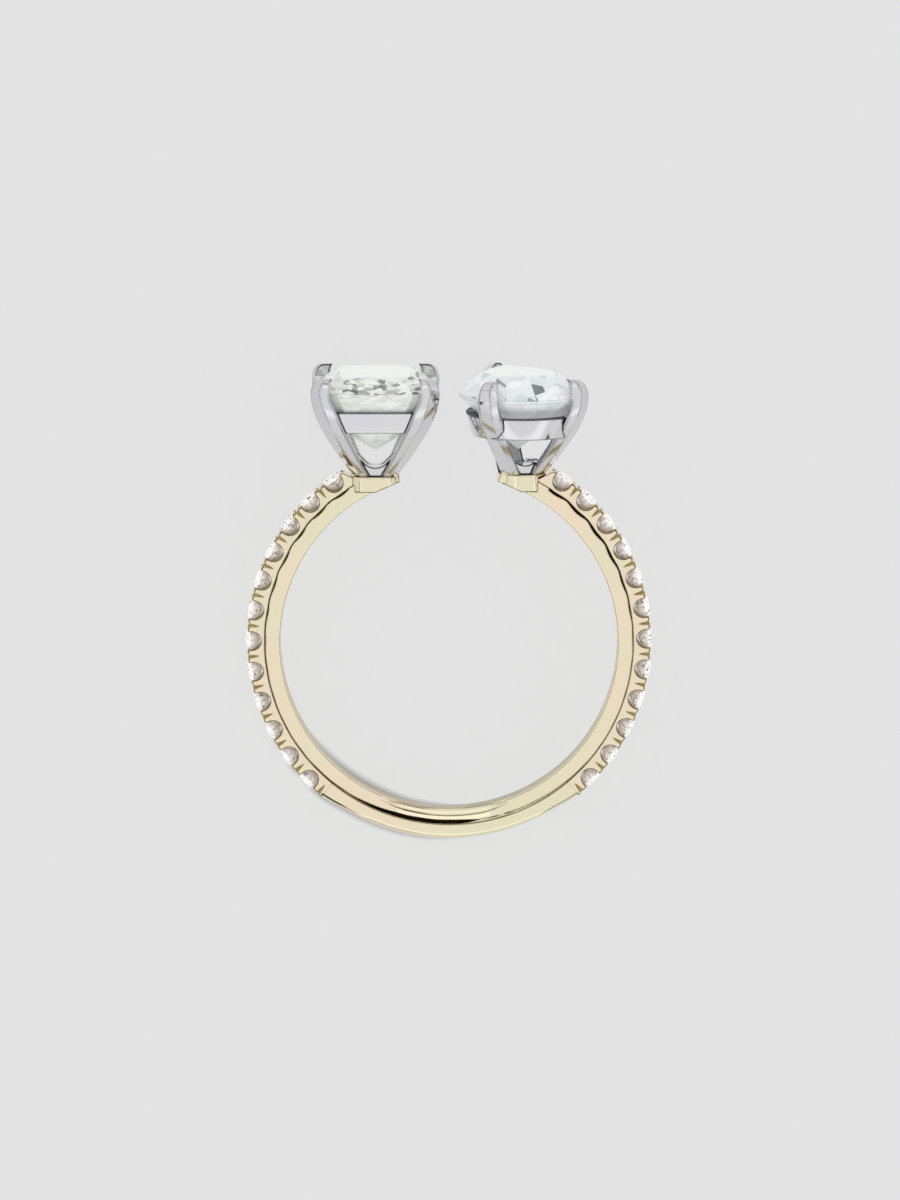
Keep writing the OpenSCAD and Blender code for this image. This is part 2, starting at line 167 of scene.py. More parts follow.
def new_material(name):
    """A material without nodes, and its tree."""
    made = bpy.data.materials.new(name)
    made.use_nodes = True
    made.node_tree.nodes.clear()
    return made, made.node_tree


def edge_line(tree, width, low, high):
    """1 along the edges, where a normal softened over width mm turns away from the face's."""
    edge = node(tree, "ShaderNodeBevel", {"samples": 8}, Radius=width * MM).outputs["Normal"]
    face = node(tree, "ShaderNodeNewGeometry").outputs["Normal"]
    same = node(tree, "ShaderNodeVectorMath", DOT, _0=edge, _1=face)
    return node(tree, "ShaderNodeMapRange", Value=same.outputs["Value"], _1=1 - low, _2=1 - high)


def polished(name, tones, line, hollow, roughness, line_w=0.12, line_from=0.006):
    """Polished metal with soft buffing marks. Its two tones drift over a few millimetres, a painted
    reflection of the room's warm and cool sides. Its softened edges get thin lines of painted
    reflection of the room's dark parts, and its corners get painted shade. The buffing marks are
    some thousandths of a millimetre wide, and drawn far coarser so that they show."""
    made, tree = new_material(name)
    place = node(tree, "ShaderNodeTexCoord").outputs["Object"]
    # Painted reflection of the room's warm and cool sides, as two drifting tones
    drift = node(tree, "ShaderNodeTexNoise", Vector=place, Scale=grains_of(3.85), Detail=1.0)
    cast = node(tree, "ShaderNodeMapRange", Value=drift.outputs["Fac"], _1=0.38, _2=0.62)
    tone = node(tree, "ShaderNodeMix", OF_COLOURS, _0=cast, _6=colour(tones[0]), _7=colour(tones[1]))
    # Painted reflection of the room's dark parts, as thin lines along the softened edges
    on_edge = edge_line(tree, line_w, line_from, line_from * 5)
    lined = node(tree, "ShaderNodeMix", OF_COLOURS, _0=on_edge, _6=tone.outputs[2], _7=colour(line))
    # Painted shade: corners where occlusion finds other surfaces close by darken toward the hollow colour
    corner = node(tree, "ShaderNodeAmbientOcclusion", {"samples": 8, "only_local": True},
                  Distance=0.12 * MM)
    unshaded = node(tree, "ShaderNodeMapRange", Value=corner.outputs["AO"], _1=0.3, _2=0.75)
    tint = node(tree, "ShaderNodeMix", OF_COLOURS, _0=unshaded, _6=colour(hollow), _7=lined.outputs[2])
    marks = node(tree, "ShaderNodeTexNoise", Vector=place, Scale=grains_of(0.667), Detail=3.0)
    rough = node(tree, "ShaderNodeMapRange", Value=marks.outputs["Fac"], _1=0.3, _2=0.7,
                 _3=roughness * 0.8, _4=roughness * 1.3)
    worn = node(tree, "ShaderNodeBevel", {"samples": 4}, Radius=0.03 * MM)
    bump = node(tree, "ShaderNodeBump", Strength=0.02, Distance=0.01 * MM, Height=marks.outputs["Fac"],
                Normal=worn.outputs["Normal"])
    shader = node(tree, "ShaderNodeBsdfPrincipled", Base_Color=tint.outputs[2], Metallic=1.0,
                  Roughness=rough, Normal=bump.outputs["Normal"])
    node(tree, "ShaderNodeOutputMaterial", Surface=shader)
    return made


# 14 carat yellow gold, cast and buffed to a mirror: pale, with painted reflections that make it pinkish and
# greenish in parts
yellow_gold = polished("buffed_14_carat_yellow_gold", ("#F8E6CB", "#F0E9C9"), line="#6A5630",
                       hollow="#5A4A26", roughness=0.12, line_w=0.09)
# Rhodium plated white gold, cast and buffed: cool grey, with painted reflections that make it lilac here and
# there
white_gold = polished("rhodium_plated_white_gold", ("#DEDEDE", "#DCDBE1"), line="#26262A",
                      hollow="#3A3A3C", roughness=0.09, line_w=0.13, line_from=0.0038)
# The seats are left as the bur cut them, and get an olive brown painted shade round the stones
seat_gold = polished("bur_cut_yellow_gold", ("#8A7750", "#A4925F"), line="#6E5C38",
                     hollow="#5A4A2A", roughness=0.35, line_w=0.05)
# The wells under the stones are bur cut too, with painted shade a little brighter than the seats'
well_gold = polished("bur_cut_yellow_gold_well", ("#A8966A", "#94825A"), line="#6E5C36",
                     hollow="#5E4C2A", roughness=0.35)
# The ledge under a main stone is bur cut and lies in the stone's shade; its nearly black colour is painted
# shade
ledge_gold = polished("bur_cut_white_gold", ("#2A2A2C", "#1E1E20"), line="#1E1E20",
                      hollow="#101012", roughness=0.4)
# Inside, the band is polished with a felt cone, which leaves it duller; its darker colour is painted shade
bore_gold = polished("felt_polished_yellow_gold", ("#C9BE9C", "#BDB594"), line="#5E4A28",
                     hollow="#5A4A26", roughness=0.3)
# The bright cut grooves between the stones get a darker, greener painted reflection of the gold
groove_gold = polished("bright_cut_yellow_gold", ("#D8CB9C", "#EADFB8"), line="#8A7A48",
                       hollow="#B4A46C", roughness=0.15, line_w=0.05)
# The crease and the tail line are painted nearly black as painted shade
crease_gold = polished("compound_in_yellow_gold", ("#17120A", "#2A2112"), line="#17120A",
                       hollow="#080604", roughness=0.5)


def diamond(name, tint, shades, sparkle, cell, mirrored_share, table, under, painted_glow):
    """Cut and polished diamond: clear and strongly refracting. Its back facets return so much
    light that it looks partly white, which the scattering share stands for. Painted reflections
    change the white from facet to facet, and from one mirrored facet, cell mm in size, to the next.
    Thin painted grey lines follow the facet edges. The table, where it faces one way, gets the
    whitest painted highlight, and under is the share of the mirrored facets that shows below the
    girdle. A faint painted glow lights it even where the seat keeps the room off."""
    made, tree = new_material(name)
    place = node(tree, "ShaderNodeTexCoord").outputs["Object"]
    haze = node(tree, "ShaderNodeTexNoise", Vector=place, Scale=grains_of(2.5))
    body = node(tree, "ShaderNodeMapRange", Value=haze.outputs["Fac"], _3=0.0, _4=0.004)
    clear = node(tree, "ShaderNodeBsdfPrincipled", Base_Color=colour(tint),
                 Roughness=body, IOR=2.42, Transmission_Weight=1.0)
    facet = node(tree, "ShaderNodeNewGeometry").outputs["True Normal"]
    step = node(tree, "ShaderNodeVectorMath", {"operation": "SNAP"}, _0=facet, _1=(0.07, 0.07, 0.07))
    # Painted reflections: each facet and each mirrored facet gets its own shade
    chance = node(tree, "ShaderNodeTexWhiteNoise", Vector=step.outputs["Vector"])
    parts = {}
    for axis, mm, way in zip("XYZ", cell, ((1, 0, 0), (0, 1, 0), (0, 0, 1))):
        share = tuple(ring_direction(*way) / (mm * MM))
        parts[axis] = node(tree, "ShaderNodeVectorMath", DOT, _0=place, _1=share).outputs["Value"]
    along = node(tree, "ShaderNodeCombineXYZ", **parts)
    mirrored = node(tree, "ShaderNodeTexVoronoi", Vector=along, Scale=1.0)
    part = node(tree, "ShaderNodeSeparateColor", Color=mirrored.outputs["Color"])
    both = node(tree, "ShaderNodeMix", _0=mirrored_share, _2=chance.outputs["Value"], _3=part)
    up = node(tree, "ShaderNodeVectorMath", DOT, _0=facet,
              _1=tuple(ring_direction(0, 0, 1))).outputs["Value"]
    plain = node(tree, "ShaderNodeMapRange", Value=up, _1=0.02, _2=-0.02, _3=0.0, _4=1.0 - under)
    picked = node(tree, "ShaderNodeMix", _0=plain, _2=both, _3=0.62)
    stops = [(at, colour(code)) for at, code in shades]
    shade = node(tree, "ShaderNodeValToRGB", {"stops": stops}, Fac=picked)
    # Painted grey lines along the facet edges
    line = reckon(tree, "MULTIPLY", edge_line(tree, 0.07, 0.004, 0.03), 0.6)
    lined = node(tree, "ShaderNodeMix", OF_COLOURS, _0=line, _6=shade, _7=colour("#7C827E"))
    # Painted highlight: facets that face the way of the table turn whitest
    flat = node(tree, "ShaderNodeMapRange", Value=up, _1=0.97, _2=0.99, _3=0.0, _4=table)
    tone = node(tree, "ShaderNodeMix", OF_COLOURS, _0=flat, _6=lined.outputs[2], _7=colour("#FCFEFC"))
    white = node(tree, "ShaderNodeBsdfDiffuse", Color=tone.outputs[2])
    # Painted glow, which lights the stone though it is no lamp
    inner = node(tree, "ShaderNodeEmission", Color=tone.outputs[2], Strength=painted_glow)
    bright = node(tree, "ShaderNodeAddShader", _0=white, _1=inner)
    spread = node(tree, "ShaderNodeMapRange", Value=both, _1=0.2, _2=0.8, _3=sparkle[0], _4=sparkle[1])
    whole = reckon(tree, "MAXIMUM", spread, flat)
    surface = node(tree, "ShaderNodeMixShader", _0=whole, _1=clear, _2=bright)
    node(tree, "ShaderNodeOutputMaterial", Surface=surface)
    return made


# The step cut's painted reflections mirror its steps as dashes along its length, the brilliant's as kites
step_diamond = diamond(
    "step_cut_diamond", "#FBFDFA",
    shades=((0.1, "#6E766F"), (0.22, "#B9C1B7"), (0.3, "#EBEFE8"), (0.8, "#FCFDF8")),
    sparkle=(0.74, 0.92), cell=(0.34, 0.9, 0.12), mirrored_share=0.85, table=0.95, under=0.3,
    painted_glow=0.08)
pear_diamond = diamond(
    "brilliant_cut_diamond", "#FAFCFD",
    shades=((0.1, "#6A7275"), (0.15, "#CDD6D8"), (0.3, "#EDF3F4"), (0.8, "#FCFEFE")),
    sparkle=(0.76, 0.92), cell=(0.7, 0.8, 0.55), mirrored_share=0.6, table=0.85, under=0.5,
    painted_glow=0.1)
# The small stones' painted mirrored facets are drawn as coarse as they need to show
small_diamond = diamond(
    "melee_diamond", "#FCF5F1",
    shades=((0.12, "#6E6562"), (0.2, "#DAD1CC"), (0.32, "#FAF4F1"), (0.8, "#FFFBF9")),
    sparkle=(0.8, 0.94), cell=(0.1, 0.1, 0.1), mirrored_share=0.7, table=0.0, under=1.0,
    painted_glow=0.27)


# Meshes

def solid(name, points, faces):
    mesh = bpy.data.meshes.new(name)
    mesh.from_pydata([tuple(p) for p in points], [], faces)
    mesh.validate()
    piece = bpy.data.objects.new(name, mesh)
    bpy.context.scene.collection.objects.link(piece)
    return piece


def face_outwards(piece):
    """Merges doubled points, then turns all faces outwards."""
    work = bmesh.new()
    work.from_mesh(piece.data)
    bmesh.ops.remove_doubles(work, verts=work.verts, dist=1e-6)
    bmesh.ops.recalc_face_normals(work, faces=work.faces)
    work.to_mesh(piece.data)
    work.free()
    return piece


def loft(name, rings, closed=False):
    """A skin over rings of the same number of points, capped unless it closes on itself."""
    n = len(rings[0])
    points = [p for ring in rings for p in ring]
    last = len(rings) if closed else len(rings) - 1
    faces = []
    for k in range(last):
        a, b = k * n, (k + 1) % len(rings) * n
        faces += [(a + i, a + (i + 1) % n, b + (i + 1) % n, b + i) for i in range(n)]
    if not closed:
        faces += [tuple(range(n - 1, -1, -1)), tuple(range((len(rings) - 1) * n, len(rings) * n))]
    return face_outwards(solid(name, points, faces))


def join(name, pieces):
    """One object that holds the shells of several."""
    points, faces = [], []
    for piece in pieces:
        start = len(points)
        points += [v.co.copy() for v in piece.data.vertices]
        faces += [tuple(start + i for i in f.vertices) for f in piece.data.polygons]
        bpy.data.objects.remove(piece)
    return solid(name, points, faces)


def move(piece, matrix):
    """Places a piece within its own mesh."""
    piece.data.transform(matrix)
    return piece


def apply_modifiers(piece):
    """Makes what the modifiers give the piece's own plain mesh."""
    bpy.context.view_layer.update()
    made = piece.evaluated_get(bpy.context.evaluated_depsgraph_get())
    shape = bpy.data.meshes.new_from_object(made)
    piece.modifiers.clear()
    piece.data = shape


def combine(piece, other, operation):
    """Joins or cuts with the other solid; a cut keeps the cutter's material on its walls."""
    step = piece.modifiers.new("combine", "BOOLEAN")
    step.operation = operation
    step.object = other
    step.solver = "MANIFOLD"
    step.material_mode = "TRANSFER"
    apply_modifiers(piece)
    bpy.data.objects.remove(other)


def dress(piece, finish):
    """Gives the whole piece one finish."""
    piece.data.materials.clear()
    piece.data.materials.append(finish)
    return piece


def on_ring(angle, r, y):
    """A point of the upright ring; angle is clockwise from the top."""
    return Vector((r * math.sin(angle), y, r * math.cos(angle)))


def blend(a, b, t):
    return a + (b - a) * t


def smooth(t):
    """0 to 1 with soft ends, and level outside."""
    t = min(max(t, 0.0), 1.0)
    return t * t * (3 - 2 * t)


def arc(cx, cy, rx, ry, start, end, steps):
    """Points of an arc round (cx, cy), from start to end in degrees."""
    return [(cx + rx * math.cos(math.radians(blend(start, end, k / steps))),
             cy + ry * math.sin(math.radians(blend(start, end, k / steps)))) for k in range(steps + 1)]


def circle(r, n):
    return arc(0, 0, r, r, 0, 360, n)[:-1]


def cut_corner(w, l, c):
    """A rectangle w by l with its corners cut off by c."""
    return [(w / 2, l / 2 - c), (w / 2 - c, l / 2), (-w / 2 + c, l / 2), (-w / 2, l / 2 - c),
            (-w / 2, -l / 2 + c), (-w / 2 + c, -l / 2), (w / 2 - c, -l / 2), (w / 2, -l / 2 + c)]


def rounded(outline, r, steps=3):
    """The same outline with each corner cut by a small curve."""
    result = []
    n = len(outline)
    for i in range(n):
        before, here, after = (Vector(outline[j % n]) for j in (i - 1, i, i + 1))
        a = here + (before - here).normalized() * min(r, (before - here).length / 2.2)
        b = here + (after - here).normalized() * min(r, (after - here).length / 2.2)
        for k in range(steps + 1):
            t = k / steps
            p = a * (1 - t) ** 2 + here * 2 * t * (1 - t) + b * t * t
            result.append((p.x, p.y))
    return result


def prism(name, outline, low, high, soft=0.0):
    """Straight block on an outline, with its top edge rounded by soft."""
    rings = [[Vector((x, y, low)) for x, y in outline]]
    size = max(abs(c) for p in outline for c in p)
    steps = 4 if soft else 0
    for k in range(steps + 1):
        a = math.radians(90 * k / max(steps, 1))
        share = 1 - soft * (1 - math.cos(a)) / size if soft else 1
        rise = high - soft * (1 - math.sin(a))
        rings.append([Vector((x * share, y * share, rise)) for x, y in outline])
    return loft(name, rings)


# Node trees for what repeats along the rails or follows the band

def new_tree(name, sizes):
    """A geometry node tree with a named input for each size."""
    tree = bpy.data.node_groups.new(name, "GeometryNodeTree")
    for label, kind in sizes.items():
        tree.interface.new_socket(label, in_out="INPUT", socket_type="NodeSocket" + kind)
    tree.interface.new_socket("Mesh", in_out="OUTPUT", socket_type="NodeSocketGeometry")
    return tree, node(tree, "NodeGroupInput").outputs


def grow(name, tree, sizes):
    """The plain mesh that a tree makes with these sizes."""
    piece = solid(name, [], [])
    step = piece.modifiers.new("grow", "NODES")
    step.node_group = tree
    for socket in tree.interface.items_tree:
        if socket.name in sizes:
            step[socket.identifier] = sizes[socket.name]
    apply_modifiers(piece)
    return piece


def finish_tree(tree, shape, metal):
    """Ends a tree: its instances become real and take their finish."""
    real = node(tree, "GeometryNodeRealizeInstances", Geometry=shape)
    dressed = node(tree, "GeometryNodeSetMaterial", Geometry=real, Material=metal)
    node(tree, "NodeGroupOutput", Mesh=dressed)


def row_tree():
    """Copies of a pattern drawn at the top of the ring, turned to equal steps round it."""
    tree, size = new_tree("row_along_the_rail", {
        "Pattern": "Object", "Count": "Int", "First angle": "Float", "Step angle": "Float",
        "Finish": "Material"})
    places = node(tree, "GeometryNodeMeshLine", Count=size["Count"], Offset=(0.0, 0.0, 0.0))
    number = node(tree, "GeometryNodeInputIndex")
    angle = reckon(tree, "MULTIPLY_ADD", number, size["Step angle"], size["First angle"])
    turn = node(tree, "ShaderNodeCombineXYZ", Y=angle)
    way = node(tree, "FunctionNodeEulerToRotation", Euler=turn)
    pattern = node(tree, "GeometryNodeObjectInfo", Object=size["Pattern"])
    row = node(tree, "GeometryNodeInstanceOnPoints", Points=places,
               Instance=pattern.outputs["Geometry"], Rotation=way)
    finish_tree(tree, row, size["Finish"])
    return tree


def crease_tree():
    """A thin round line that follows the band from a setting down to its lowest place. It waves
    in under the first stones, and its width changes on the way down."""
    tree, size = new_tree("crease_round_the_band", {
        "Points": "Int", "First angle": "Float", "Step angle": "Float", "Side": "Float", "Face": "Float",
        "Radius": "Float", "Bottom radius": "Float", "Stone angle": "Float", "Stone step": "Float",
        "Wave": "Float", "Top width": "Float", "Side width": "Float", "Bottom width": "Float",
        "Finish": "Material"})
    line = node(tree, "GeometryNodeMeshLine", Count=size["Points"])
    number = node(tree, "GeometryNodeInputIndex")
    angle = reckon(tree, "MULTIPLY_ADD", number, size["Step angle"], size["First angle"])

    def passing(start, end, low, high):
        """Goes from low to high while the angle passes from start to end, in degrees."""
        return node(tree, "ShaderNodeMapRange", EASED, Value=angle, _1=math.radians(start),
                    _2=math.radians(end), _3=low, _4=high)

    from_stone = reckon(tree, "SUBTRACT", angle, size["Stone angle"])
    stones = reckon(tree, "DIVIDE", from_stone, size["Stone step"])
    wave = reckon(tree, "COSINE", reckon(tree, "MULTIPLY", stones, 2 * math.pi))
    shown = reckon(tree, "MULTIPLY", wave, passing(45, 100, 1.0, 0.12))
    narrowing = reckon(tree, "SUBTRACT", size["Radius"], size["Bottom radius"])
    drop = reckon(tree, "MULTIPLY", narrowing, passing(122, 172, 0.0, 1.0))
    level = reckon(tree, "SUBTRACT", size["Radius"], drop)
    r = reckon(tree, "SUBTRACT", level, reckon(tree, "MULTIPLY", shown, size["Wave"]))
    up = reckon(tree, "MULTIPLY", r, reckon(tree, "COSINE", angle))
    across = reckon(tree, "MULTIPLY", r, reckon(tree, "SINE", angle))
    place = node(tree, "ShaderNodeCombineXYZ", X=reckon(tree, "MULTIPLY", across, size["Side"]),
                 Y=size["Face"], Z=up)
    bent = node(tree, "GeometryNodeSetPosition", Geometry=line, Position=place)
    path = node(tree, "GeometryNodeMeshToCurve", Mesh=bent)
    upper = passing(50, 95, size["Top width"], size["Side width"])
    width = passing(146, 166, upper, size["Bottom width"])
    swell = reckon(tree, "MULTIPLY_ADD", shown, 0.2, 1.0)
    half = reckon(tree, "MULTIPLY", reckon(tree, "MULTIPLY", width, swell), 0.5)
    thinned = reckon(tree, "MULTIPLY", half, passing(183, 190, 1.0, 0.25))
    section = node(tree, "GeometryNodeCurvePrimitiveCircle", Resolution=10, Radius=1.0)
    cord = node(tree, "GeometryNodeCurveToMesh", Curve=path, Profile_Curve=section, Scale=thinned,
                Fill_Caps=True)
    finish_tree(tree, cord, size["Finish"])
    return tree


ROW_TREE = row_tree()
CREASE_TREE = crease_tree()


def row_of(pattern, side, first, count, finish):
    """A row of a pattern down one rail, as one object."""
    return grow(pattern.name + "_row", ROW_TREE, {
        "Pattern": pattern, "Count": count, "First angle": side * first,
        "Step angle": side * PAVE_STEP, "Finish": finish})


# Band

INNER_FLAT = 1.24
STUB_R = FINGER_R + 0.86
STUB_Y = 0.25
SIDE_Y = RAIL_HALF - 0.004
DOME_H = 0.7
DOME_POWER = 0.6
BACK_POINTS = 16
# Where the rail ends past its last stone, where the band's back rises to it, and where its
# outer edge comes down and its flat sides have turned into the dome
RAIL_TAIL = 0.98
BACK_RISES = (0.66, 0.8)
BACK_COMES_DOWN = (0.8, 2.7)
BACK_TURNS_ROUND = (1.7, 4.1)
# How far to each side of the bottom, in radians, its rounder inner edge has faded and starts to
BOTTOM_FADES = (0.42, 0.22)
# The upper half of the band's inside, its inner edge and its side up to the crease, from
# the bore outwards: radius, height, and how much is added to each at the ring's bottom,
# where the edge is rounded farther out and the side slopes to the crease
EDGE_AND_SIDE = (
    (FINGER_R - 0.01, INNER_FLAT / 4, 0, 0),
    (FINGER_R - 0.01, INNER_FLAT / 2, 0, 0),
    (FINGER_R + 0.01, 0.72, 0.05, 0),
    (FINGER_R + 0.028, 0.79, 0.15, 0),
    (FINGER_R + 0.05, 0.84, 0.26, 0.03),
    (FINGER_R + 0.17, HALF_W, 0.16, -0.005),
    (FINGER_R + 0.28, HALF_W, 0.12, -0.035),
    (CREASE_R - 0.09, HALF_W, -0.15, -0.1),
    (CREASE_R - 0.045, HALF_W - 0.008, -0.1, -0.12),
    (CREASE_R - 0.015, HALF_W - 0.03, 0, -0.05),
    (CREASE_R, HALF_W - 0.07, 0, -0.025),
    (CREASE_R + 0.01, SIDE_Y, 0, 0))


def half_section(rise, soft, rim, low):
    """Upper half of the band's section as (r, y), from the bore outwards. Under the stones it
    ends in a stub inside the rail. Past them it rises to a flat sided back of outer radius
    rim, which soft turns into a dome. low is 1 at the bottom of the ring."""
    side = [(r + low * more_r, y + low * more_y) for r, y, more_r, more_y in EDGE_AND_SIDE]
    last = BACK_POINTS - 1
    stub = [(STUB_R, blend(RAIL_HALF - 0.01, STUB_Y, k / last)) for k in range(BACK_POINTS)]
    bevel_r, bevel_y = 0.14, 0.24
    flat = [(blend(STUB_R, rim - bevel_r, k / 9), SIDE_Y) for k in range(10)]
    flat += [(rim - blend(bevel_r, 0.02, k / 4), blend(SIDE_Y, RAIL_HALF - bevel_y, k / 4)) for k in range(5)]
    flat += [(rim, STUB_Y)]
    dome = []
    for k in range(last):
        a = math.radians(blend(2, 90, k / last))
        dome.append((BACK_R - DOME_H + DOME_H * math.sin(a) ** DOME_POWER,
                     STUB_Y + (RAIL_HALF - STUB_Y) * math.cos(a) ** DOME_POWER))
    dome += [(BACK_R, STUB_Y)]
    back = [(blend(a[0], blend(b[0], c[0], soft), rise), blend(a[1], blend(b[1], c[1], soft), rise))
            for a, b, c in zip(stub, flat, dome)]
    return side + back


def passed(value, limits):
    """How far a value has passed from the first limit to the second, with soft ends."""
    return smooth((value - limits[0]) / (limits[1] - limits[0]))


def back_rim(past):
    """Outer radius of the flat sided back, by the distance past the last stone."""
    return blend(PLAIN_R + 0.24, BACK_R, passed(past, BACK_COMES_DOWN))


def band():
    whole = 2 * math.pi
    steps = 640
    rings = []
    for k in range(steps + 1):
        angle = blend(BAND_START, whole - BAND_START, k / steps)
        past_right = angle - RIGHT_FIRST - ROW_LENGTH
        past_left = whole - angle - LEFT_FIRST - ROW_LENGTH
        past = GIRDLE_R * min(past_right, past_left)
        low = passed(abs(angle - math.pi - 0.03), BOTTOM_FADES)
        upper = half_section(passed(past, BACK_RISES), passed(past, BACK_TURNS_ROUND), back_rim(past), low)
        section = upper + [(r, -y) for r, y in reversed(upper)]
        rings.append([on_ring(angle, r, y) for r, y in section])
    return loft("band", rings)


def rail(side, first):
    """The wall that carries one row, from its collar to just past its last stone."""
    last = first + ROW_LENGTH
    begin = first - PAVE_STEP / 2 - 0.035
    end = last + RAIL_TAIL / GIRDLE_R
    inner = FINGER_R + 0.55
    shape = [(begin, inner), (begin, CREASE_R + 0.12), (first - 0.66 / GIRDLE_R, RAIL_TOP - 0.06)]
    steps = 90
    for k in range(steps + 1):
        shape.append((blend(first - 0.6 / GIRDLE_R, last + 0.8 / GIRDLE_R, k / steps), RAIL_TOP))
    shape += [(last + 0.9 / GIRDLE_R, back_rim(0.9) + 0.006), (end, back_rim(RAIL_TAIL) + 0.004)]
    shape += [(blend(end, begin, k / steps), inner) for k in range(steps)]
    outline = [on_ring(side * a, r, 0) for a, r in shape]
    return loft("rail", [[p + Vector((0, y, 0)) for p in outline] for y in (-RAIL_HALF, RAIL_HALF)])


def tail_line(face):
    """Cutter for the dark line of painted shade that runs on from the left rail, along the outer edge of the
    flat sided back, and dies away."""
    starts, thins, ends = 0.94, 1.9, 2.75
    steps = 24
    rings = []
    for k in range(steps + 1):
        past = blend(starts, ends, k / steps)
        size = 0.04 * (1 - 0.8 * passed(past, (thins, ends)))
        r = back_rim(past) - 0.13
        angle = LEFT_FIRST + ROW_LENGTH + past / GIRDLE_R
        rings.append([on_ring(-angle, r + x * size, face + y * size)
                      for x, y in ((1, 1), (-1, 1), (-1, -1), (1, -1))])
    return dress(loft("tail_line", rings), crease_gold)


def well():
    """Cutter for a small stone's seat: a well with a cone under it. The profile's columns are
    radius and height over the girdle."""
    wide = PAVE_D / 2 + 0.03
    profile = ((0.03, -0.64), (0.12, -0.6), (0.4, -0.33), (wide, -0.06), (wide, 0.6))
    return loft("well", [[Vector((x, y, STONE_R + h)) for x, y in circle(r, 32)] for r, h in profile])


def scallop():
    """Cutter that opens the rail's side walls at a stone: round below and straight above."""
    wide, deep, high = 0.46, 0.5, 0.6
    outline = [(wide, high)] + arc(0, 0, wide, deep, 0, -180, 16) + [(-wide, high)]
    return loft("scallop", [[Vector((x, y, STONE_R + h)) for x, h in outline] for y in (-1.2, 1.2)])


def groove():
    """Cutters for the V grooves in both side walls of a post, widest at the rim."""
    wide, deep, high = 0.16, 0.16, PLAIN_R + 0.4
    shells = []
    for side in (-1, 1):
        face = side * (RAIL_HALF + 0.05)
        points = [(0, side * (RAIL_HALF + 0.005), PLAIN_R - 0.36), (-wide, face, high),
                  (wide, face, high), (0, side * (RAIL_HALF - deep), high)]
        shells.append(face_outwards(solid("groove", points, [(0, 1, 2), (0, 2, 3), (0, 3, 1), (1, 3, 2)])))
    return join("groove", shells)


def grains():
    """Four rounded bead tips on a post, pressed over the edges of its two stones."""
    along, out, radius = 0.21, 0.43, 0.14
    work = bmesh.new()
    for x, y in ((along, out), (-along, out), (-along, -out), (along, -out)):
        place = Matrix.Translation((x, y, RAIL_TOP - 0.05)) @ Matrix.Diagonal((1, 1.15, 0.9, 1))
        bmesh.ops.create_uvsphere(work, u_segments=12, v_segments=8, radius=radius, matrix=place)
    mesh = bpy.data.meshes.new("grains")
    work.to_mesh(mesh)
    work.free()
    piece = bpy.data.objects.new("grains", mesh)
    bpy.context.scene.collection.objects.link(piece)
    return piece


def crease(side, first, face, widths):
    """Cutter for the crease under one rail, at y of face. The left one runs past the ring's
    lowest place, and the right one stops before it."""
    start = BAND_START + 0.28
    end = math.pi + (0.17 if side < 0 else -0.12)
    points = 700
    # The crease's walls take the nearly black painted shade
    made = grow("crease", CREASE_TREE, {
        "Points": points, "First angle": start, "Step angle": (end - start) / (points - 1),
        "Side": float(side), "Face": face, "Radius": CREASE_R - 0.015, "Bottom radius": CREASE_R - 0.13,
        "Stone angle": first, "Stone step": PAVE_STEP, "Wave": 0.035, "Top width": widths[0],
        "Side width": widths[1], "Bottom width": widths[2], "Finish": crease_gold})
    return face_outwards(made)


AT_EMERALD = Matrix.Translation((EMERALD_X, 0, EMERALD_Z))
TURN = Matrix.Rotation(PEAR_TURN, 4, "Z")
AT_PEAR_COLLAR = Matrix.Translation((PEAR_X, 0, PEAR_Z)) @ TURN
AT_PEAR = Matrix.Translation((PEAR_X - PEAR_SHIFT, 0, PEAR_Z)) @ TURN


def collar(size, corner, place):
    """The block at one end of the band that carries a setting."""
    w, h = size
    piece = prism("collar", rounded(cut_corner(w, w, w * corner), 0.16, 5), -h, 0, 0.06)
    return dress(move(piece, place), yellow_gold)


def shank():
    piece = dress(band(), yellow_gold)
    for name, side, first in ROWS:
        combine(piece, dress(rail(side, first), yellow_gold), "UNION")
    combine(piece, collar(EMERALD_COLLAR, EMERALD_COLLAR_CORNER, AT_EMERALD), "UNION")
    combine(piece, collar(PEAR_COLLAR, PEAR_COLLAR_CORNER, AT_PEAR_COLLAR), "UNION")
    finger = loft("finger", [[Vector((x, y, z)) for x, z in circle(FINGER_R, 360)] for y in (-2, 2)])
    combine(piece, dress(finger, bore_gold), "DIFFERENCE")
    for name, side, first in ROWS:
        for face in (0.03 - HALF_W, -RAIL_HALF, RAIL_HALF, HALF_W - 0.03):
            combine(piece, crease(side, first, face, CREASE_WIDTHS[name]), "DIFFERENCE")
    for face in (-RAIL_HALF, RAIL_HALF):
        combine(piece, tail_line(face), "DIFFERENCE")
    # Seats and scallops lie at the stones, grooves and grains half a step on
    for pattern, shift, finish, operation in (
            (well(), 0, well_gold, "DIFFERENCE"), (scallop(), 0, seat_gold, "DIFFERENCE"),
            (groove(), 0.5, groove_gold, "DIFFERENCE"), (grains(), 0.5, yellow_gold, "UNION")):
        for name, side, first in ROWS:
            row = row_of(pattern, side, first + shift * PAVE_STEP, PAVE_COUNT, finish)
            combine(piece, row, operation)
        bpy.data.objects.remove(pattern)
    return finish_piece(piece, "gold_shank", ["shank"])


def finish_piece(piece, name, replaced, crisp=28):
    """Puts a piece in its place on the object. Edges steeper than crisp degrees stay sharp."""
    piece.name = name
    piece.data.name = name
    piece.data.transform(LAID_DOWN)
    piece.data.shade_smooth()
    piece.data.set_sharp_from_angle(angle=math.radians(crisp))
    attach(piece, "root")
    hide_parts(*replaced)
    return piece


# Stones

